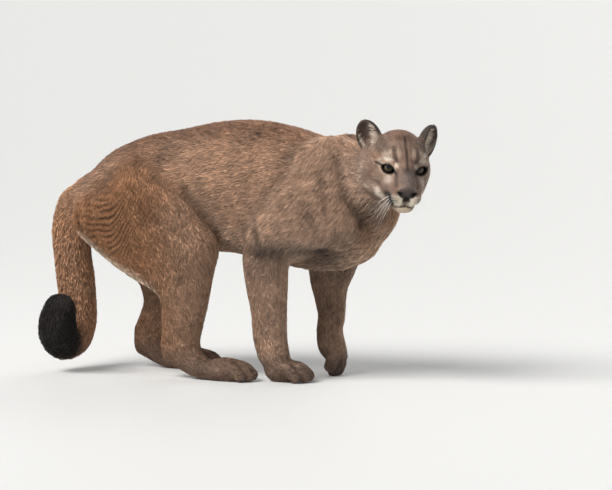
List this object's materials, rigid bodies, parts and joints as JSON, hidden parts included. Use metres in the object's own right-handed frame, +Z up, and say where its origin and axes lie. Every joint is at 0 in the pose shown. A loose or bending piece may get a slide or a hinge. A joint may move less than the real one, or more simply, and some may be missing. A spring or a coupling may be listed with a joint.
{
  "type": "cougar",
  "caption": "Life-size still cougar walking with one fore paw lifted onto its toes and the head turned to look aside; stands on its feet as a display model.",
  "frame": {"origin": "on the floor, under the middle of the whole animal's bounding box", "axes": "+X the way the body faces, +Y to the animal's left, +Z up"},
  "size_m": [1.1022, 0.3665, 0.6907],
  "materials": {
    "coat": "matt short fur",
    "head_fur": "matt short fur",
    "ear_fur": "matt thin fur",
    "tail_tip_fur": "matt dark fur",
    "eye": "wet gloss"
  },
  "bodies": {
    "root": {"ear_left": "ear_fur", "ear_right": "ear_fur", "eye_left": "eye", "eye_right": "eye", "head": "head_fur", "neck": "coat", "torso": "coat", "foreleg_right_upper": "coat", "foreleg_right_lower": "coat", "foreleg_right_paw": "coat", "foreleg_left_upper": "coat", "foreleg_left_lower": "coat", "foreleg_left_paw": "coat", "hindleg_right_upper": "coat", "hindleg_right_lower": "coat", "hindleg_right_foot": "coat", "hindleg_left_upper": "coat", "hindleg_left_lower": "coat", "hindleg_left_foot": "coat", "tail_root": "coat", "tail_middle": "coat", "tail_tip": "tail_tip_fur"}
  },
  "joints": []
}
